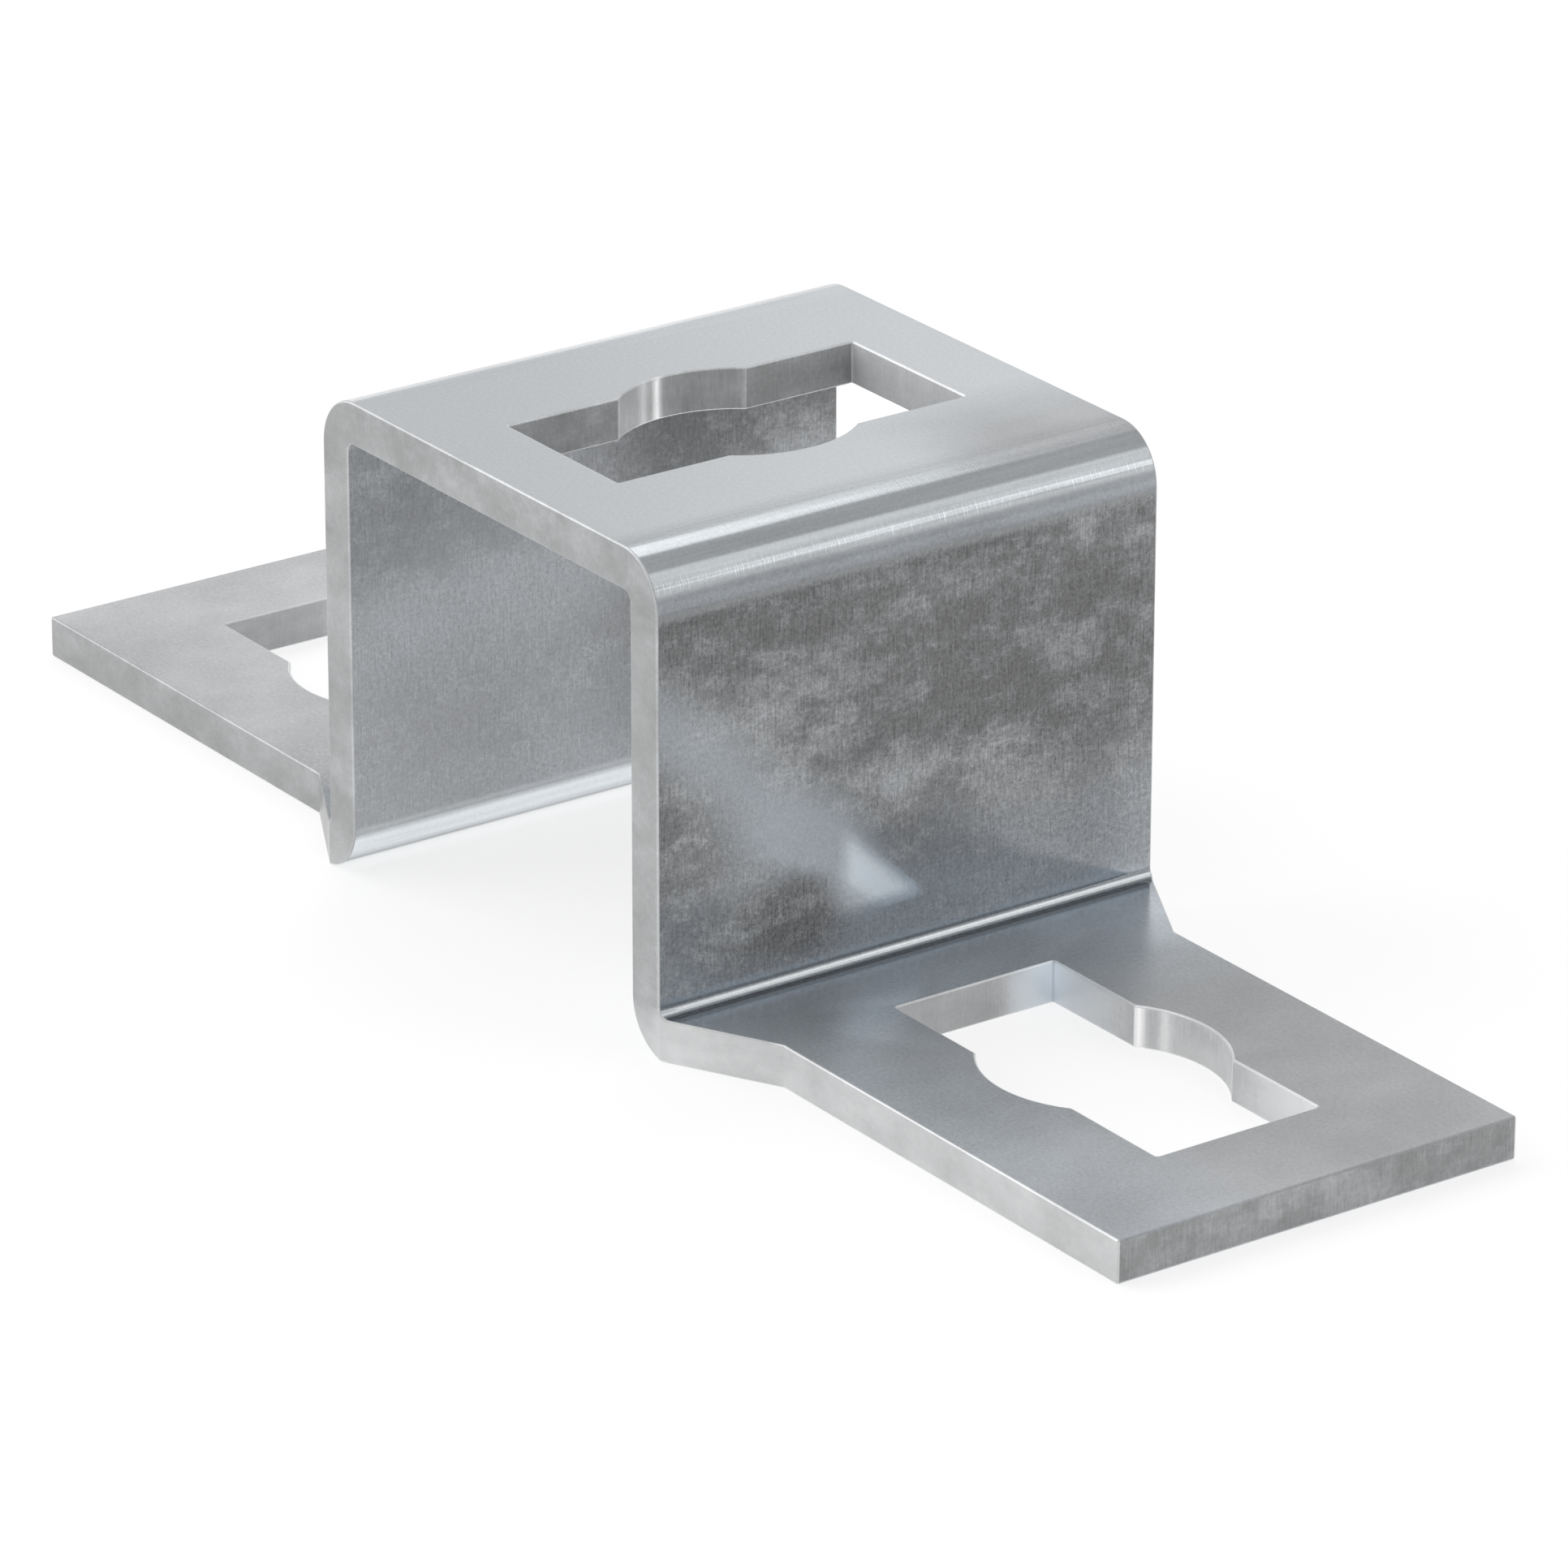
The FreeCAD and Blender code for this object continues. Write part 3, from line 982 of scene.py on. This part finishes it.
clouds = zinc.noise(place, (10, 14, 7), detail=7, roughness=0.62)
drift = zinc.noise(place, (26, 26, 26))
flecks = zinc.noise(place, (3, 4, 2.6), detail=6, roughness=0.8)
speckle = zinc.noise(place, (0.4, 0.4, 0.4), roughness=1)
streaks = zinc.noise(grain_map, (2.4, 0.2, 1), detail=3, roughness=0.7)
bands = zinc.noise(grain_map, (60, 1.8, 1), detail=1)
rubs = zinc.noise(grain_map, (0.3, 25, 1))
tilted = zinc.node("ShaderNodeMapping", {}, {"Vector": place, "Rotation": (math.radians(9), 0, 0)})
contours = zinc.noise(tilted, (40, 22, 4), detail=1)
scratches = 1 - zinc.between(abs(contours - 0.5), 0, 0.008)
print("the patterns take", len(zinc.tree.nodes), "nodes")

# %% [markdown]
# ## The colours of the coats
#
# The colours lie over each other as the films do on the sheet: bare zinc, then the bloom, then the dark
# coat with its paler flecks, and the bright rims last, which are painted highlights and reflections. One
# colour ramp could hold them all, but with a blend for each film, one can be changed and the others stay.
# The attributes say how much of each film there is, and the noises break up its edges. The cool zinc is a
# little bluer and darker, and the cool colours paint a cool reflection round the crease, on the front of
# the right flange, on the outer legs and at the slots' far corners.

# %% Lay the films over each other
# The cool colours paint a cool reflection, and rim_zinc paints the highlights, glints and sheens of the
# rims.
bright_zinc, cool_zinc = (0.605, 0.635, 0.658, 1), (0.39, 0.424, 0.462, 1)
# The thick bloom of the left flange is painted lighter.
thin_bloom, thick_bloom_painted_lighter = (0.485, 0.492, 0.505, 1), (0.67, 0.68, 0.695, 1)
cool_bloom = (0.5, 0.557, 0.61, 1)
cut_zinc = (0.605, 0.61, 0.615, 1)
rim_zinc, cool_rim = (0.9, 0.92, 0.94, 1), (0.73, 0.83, 0.93, 1)
deep_coat, thin_coat = (0.261, 0.263, 0.266, 1), (0.515, 0.53, 0.545, 1)

broken = (clouds - 0.5) * (0.6 - 0.4 * cut) + (flecks - 0.5) * (0.5 - 0.3 * cut)
coat = zinc.between(dark + broken, 0.2, 0.8)
mottle = zinc.between(clouds * 0.4 + flecks * 0.6 + worn * 0.1, 0.42, 0.63)
bloomed = zinc.blend(cool, thin_bloom, cool_bloom)
bloomed = zinc.blend(zinc.between(bloom, 0.92, 1), bloomed, thick_bloom_painted_lighter)
colour = zinc.blend(cool, bright_zinc, cool_zinc)
colour = zinc.blend(bloom, colour, bloomed)
colour = zinc.blend(cut, colour, cut_zinc)
colour = zinc.blend(coat, colour, zinc.blend(mottle, deep_coat, thin_coat))
# Last the painted highlights of rims, glints and sheens, cool where they paint a reflection.
colour = zinc.blend(rim * 0.9, colour, zinc.blend(cool, rim_zinc, cool_rim))
print("with the films there are", len(zinc.tree.nodes), "nodes")

# %% [markdown]
# ## Light and dark
#
# One factor scales the colour everywhere, so the tints of the films are kept. Through the shade value it
# carries the painted light and shade: highlights, glints and shade lines on folds, crease, walls and
# slots, and lighter and darker patches on the legs. The speckle is the crystals of the coat, the streaks
# are the rolling, and the clouds are the weather. On the folds the factor adds the lines where the brake's
# tools rubbed and a row of small painted glints across them.

# %% Scale the colour
fine = (coat * 1.3 + cool * 0.4 + bloom * 0.3 + 0.3) * (1 - 0.6 * cut) * (speckle - 0.5)
strokes = (coat * (1.4 - 1.1 * cut) + cut * burnished) * (streaks - 0.5)
strokes = strokes + coat * 0.2 * scratches * zinc.between(flecks, 0.45, 0.6)
broad = cut * 1.2 * (clouds - 0.5) + cut * burnished * 0.6 * (bands - 0.5)
broad = broad + (1 - cut) * (bloom * 0.6 + coat * 0.4 + 0.05) * (clouds + drift - 1)
# The ticks are painted glints across the bright band of the fold; the rubs are real lines along it.
glint_ticks = zinc.between(burnished, 1.2, 1.9) * zinc.between(streaks, 0.55, 0.68)
rubbing_and_glints = (1 - cut) * burnished * 0.4 * (rubs - 0.5) + glint_ticks * 0.4
colour = zinc.node("ShaderNodeVectorMath", {"operation": "SCALE"},
                   {0: colour, "Scale": 1 - shade + fine + strokes + broad + rubbing_and_glints})
print("with light and dark there are", len(zinc.tree.nodes), "nodes")

# %% [markdown]
# ## Metal where it is bare
#
# Metallic is the share of bare zinc at each place, because the films on it are not metal. The
# roughness rises with the films and falls where the zinc was polished or burnished. The streaks
# also lift the surface by a few thousandths of a millimetre, and that draws out its highlights.

# %% Build the surface
bare_zinc_and_reflection_spot = (1 - bloom) * (1 - 0.85 * coat)
metallic = bare_zinc_and_reflection_spot - bare_zinc_and_reflection_spot * rim * 0.7 + rim * 0.2
dull = 1 - metallic
roughness = 0.21 + 0.25 * dull * dull - 0.12 * polish - 0.05 * burnished
ridges = (streaks - 0.5) * (0.05 + 0.45 * burnished + 0.6 * coat)
relief = zinc.node("ShaderNodeBump", {}, {"Strength": 1, "Distance": 0.01 * mm, "Height": ridges})
surface = zinc.node("ShaderNodeBsdfPrincipled", {},
                    {"Base Color": colour, "Metallic": metallic, "Roughness": roughness, "Normal": relief})
zinc.node("ShaderNodeOutputMaterial", {}, {"Surface": surface})
mesh.materials.append(zinc.material)
print("the zinc has", len(zinc.tree.nodes), "nodes")

# %% [markdown]
# ## The floor
#
# A white studio floor should look white without throwing more light on the object. So its own
# colour is a middling grey, and it glows only for rays that come straight from the camera, from
# a mirroring surface, or through glass. The grey part still darkens where the object shades it.
# Seen from below the floor is clear, and it lies a hair under the flanges, so that they show.

# %% Lay the floor
floor_half = 3.0
floor_z = -0.02 * mm
floor_grey = 0.45
floor_glow = 0.7

floor_turns = ((-1, -1), (1, -1), (1, 1), (-1, 1))
floor_corners = [(x * floor_half, y * floor_half, floor_z) for x, y in floor_turns]
floor_mesh = bpy.data.meshes.new("floor")
floor_mesh.from_pydata(floor_corners, [], [(0, 1, 2, 3)])
floor = bpy.data.objects.new("floor", floor_mesh)
bpy.context.scene.collection.objects.link(floor)

pale = Finish("pale_floor")
matte = pale.node("ShaderNodeBsdfDiffuse", {}, {"Color": (floor_grey, floor_grey, floor_grey, 1)})
direct = pale.node("ShaderNodeLightPath", output="Is Camera Ray")
for kind in ("Is Glossy Ray", "Is Transmission Ray"):
    ray = pale.node("ShaderNodeLightPath", output=kind)
    direct = pale.node("ShaderNodeMath", {"operation": "MAXIMUM"}, {0: direct, 1: ray})
glow = pale.node("ShaderNodeEmission", {}, {"Color": (1, 1, 1, 1), "Strength": direct * floor_glow})
above = pale.node("ShaderNodeAddShader", {}, {0: matte, 1: glow})
below = pale.node("ShaderNodeBsdfTransparent")
from_below = pale.node("ShaderNodeNewGeometry", output="Backfacing")
clear = pale.node("ShaderNodeMixShader", {}, {0: from_below, 1: above, 2: below})
pale.node("ShaderNodeOutputMaterial", {}, {"Surface": clear})
floor_mesh.materials.append(pale.material)
print("the floor is", 2 * floor_half, "m wide")

# %% [markdown]
# ## The light
#
# Folded metal shows its roundness by mirroring the studio. Each softbox is a long strip that
# stands parallel to the folds, on a circle round them, so one angle decides which line of a fold
# mirrors it. The world gives a plain level everywhere, a wide key lights the ends and the top,
# and the strips behind draw the bright lines along the folds.

# %% Light it softly
world_level = 0.5
ring_radius = 1.2

world = bpy.data.worlds.new("studio")
bpy.context.scene.world = world
world.use_nodes = True
background = world.node_tree.nodes["Background"]
background.inputs["Color"].default_value = (1, 1, 1, 1)
background.inputs["Strength"].default_value = world_level


def softbox(name, turn, span, start_y, end_y, brightness):
    """A strip light that stands parallel to the folds, on a circle round them. turn is its place
    on that circle in degrees from +X over the top, span its width in degrees, and start_y and
    end_y its ends, in metres. Its power is its brightness, where 1 is white, times pi times
    its area."""
    lamp = bpy.data.lights.new(name, "AREA")
    lamp.shape = "RECTANGLE"
    lamp.size, lamp.size_y = end_y - start_y, 2 * ring_radius * math.tan(math.radians(span / 2))
    lamp.energy = brightness * math.pi * lamp.size * lamp.size_y
    box = bpy.data.objects.new(name, lamp)
    angle = math.radians(turn)
    outward = Vector((math.cos(angle), 0, math.sin(angle)))
    along_folds = Vector((0, 1, 0))
    box.location = outward * ring_radius + along_folds * (start_y + end_y) / 2
    axes = Matrix((along_folds, outward.cross(along_folds), outward)).transposed()
    box.rotation_euler = axes.to_euler()
    box.visible_camera = False
    bpy.context.scene.collection.objects.link(box)


softbox("back_left", 147, 26, 0.2, 1.4, 0.28)
softbox("back_left_end", 150, 22, 0.74, 1.4, 0.2)
softbox("back_left_strip", 119, 31, 0.0, 0.79, 0.95)
softbox("back_right", 49, 27, 0.2, 1.4, 0.42)
softbox("back_right_strip", 32, 9, 0.66, 1.4, 0.85)
softbox("back_right_fade", 21, 15, 0.2, 1.4, 0.35)
softbox("key", 145, 70, -2.4, -0.2, 1.1)
print("softboxes:", [lamp.name for lamp in bpy.data.lights])

# %% [markdown]
# ## The camera
#
# The picture was taken with a long lens from the front right, a little above the object. Aiming
# by eye would be a few pixels off, so these numbers were fitted to the corners and folds in it.
# The camera's place is written in millimetres from the middle of the object's foot. Its turn is
# counted about the vertical, its rise down from the horizon, and its roll about its own axis.

# %% Set up the camera
camera_place = Vector((623.603, -437.298, 330.888)) * mm
camera_turn, camera_rise, camera_roll = (math.radians(a) for a in (54.651, 22.816, 0.069))
view = Vector((-math.sin(camera_turn) * math.cos(camera_rise),
               math.cos(camera_turn) * math.cos(camera_rise),
               -math.sin(camera_rise)))
facing = view.to_track_quat("-Z", "Y").to_matrix() @ Matrix.Rotation(camera_roll, 3, "Z")

lens_length = 212.7126
sensor_width = 36
nearest_clip = 0.01

camera = bpy.data.objects.new("camera", bpy.data.cameras.new("camera"))
camera.data.sensor_width = sensor_width
camera.data.lens = lens_length
camera.data.clip_start = nearest_clip
camera.location = camera_place
camera.rotation_euler = facing.to_euler()
bpy.context.scene.collection.objects.link(camera)
bpy.context.scene.camera = camera
bpy.context.scene.view_settings.view_transform = "Standard"
print("the camera stands", round(camera_place.length, 3), "m away")

# %% [markdown] ## The sizes at the end The skin was worked out from the same sizes as the solid.
